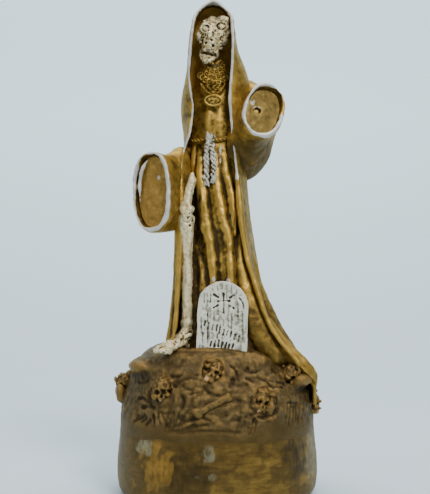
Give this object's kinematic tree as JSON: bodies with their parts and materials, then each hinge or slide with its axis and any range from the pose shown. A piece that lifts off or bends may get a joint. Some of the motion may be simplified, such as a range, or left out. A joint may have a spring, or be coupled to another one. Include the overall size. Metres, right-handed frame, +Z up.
{
  "type": "papier-mache skeleton figure",
  "caption": "Hooded, robed skeleton in gilt papier-mache, standing on an earth mound with half-buried skulls and a blank gravestone, on a round drum base.",
  "frame": {"origin": "centre of the base's flat underside", "axes": "+Z up, the figure faces -Y, the figure's own left hand is towards +X"},
  "size_m": [0.119, 0.119, 0.294],
  "materials": {
    "gilt_robes": "worn metallic gold paint over brown",
    "painted_bone": "satin ivory paint with brown wash",
    "silvered_paste": "dry-brushed silver-white paint",
    "painted_earth": "matt metallic brown paint on a rough paste",
    "painted_drum": "satin brown-gold paint, patchy",
    "bottom_card": "matt card",
    "armature_wood": "bare dowel"
  },
  "bodies": {
    "root": {"bottom_board": "bottom_card", "base_drum": "painted_drum", "core_post": "armature_wood", "mound": "painted_earth", "tunic": "gilt_robes", "mantle": "gilt_robes", "right_sleeve": "gilt_robes", "right_cuff_plug": "gilt_robes", "left_sleeve": "gilt_robes", "left_cuff_plug": "gilt_robes", "cranium": "painted_bone", "jaw": "painted_bone", "neck": "painted_bone", "collar_strand_1": "gilt_robes", "collar_strand_2": "gilt_robes", "collar_strand_3": "gilt_robes", "pendant_chain": "gilt_robes", "medallion": "gilt_robes", "belt": "gilt_robes", "belt_knot": "silvered_paste", "belt_tail_right": "silvered_paste", "belt_tail_left": "silvered_paste", "thigh_bone": "painted_bone", "kneecap": "painted_bone", "shin_bone": "painted_bone", "foot": "painted_bone", "gravestone": "silvered_paste", "mound_skull_1": "painted_earth", "mound_skull_2": "painted_earth", "mound_skull_3": "painted_earth", "mound_skull_4": "painted_earth", "mound_skull_5": "painted_earth", "mound_skull_6": "painted_earth", "mound_bone": "painted_earth"}
  },
  "joints": []
}
